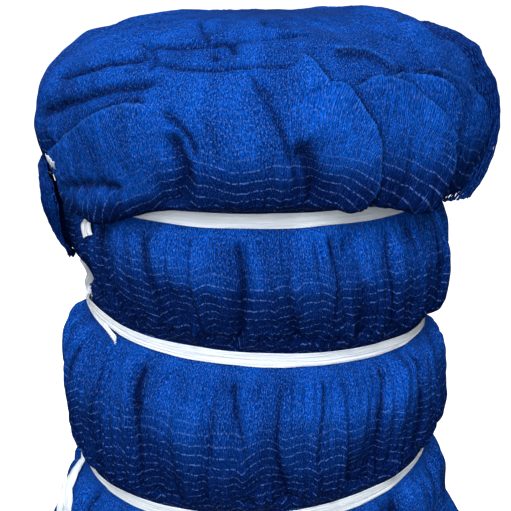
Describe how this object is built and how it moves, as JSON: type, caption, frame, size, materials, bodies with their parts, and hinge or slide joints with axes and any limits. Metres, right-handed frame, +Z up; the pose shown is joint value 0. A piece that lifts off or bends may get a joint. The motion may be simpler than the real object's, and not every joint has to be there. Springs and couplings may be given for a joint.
{
  "type": "bale of fishing net",
  "caption": "Upright bale of bunched knotted fishing net, drawn in by film ribbons, with a folded mushroom-shaped head and two loose layers.",
  "frame": {"origin": "centre of the flat base that the bale stands on", "axes": "+Z up along the bale, the front with the fanned lobes towards -Y, +X to the viewer's right"},
  "size_m": [0.4512, 0.3981, 0.6635],
  "materials": {
    "net": "fine knotted nylon twine, royal blue, soft sheen",
    "net_single_layer": "one open layer of the same blue netting",
    "ribbon": "white split polypropylene film, streaked lengthwise"
  },
  "bodies": {
    "root": {"net_bale": "net", "loose_edge": "net_single_layer", "loose_flap": "net_single_layer", "tie_1": "ribbon", "tie_2": "ribbon", "tie_3": "ribbon"}
  },
  "joints": []
}
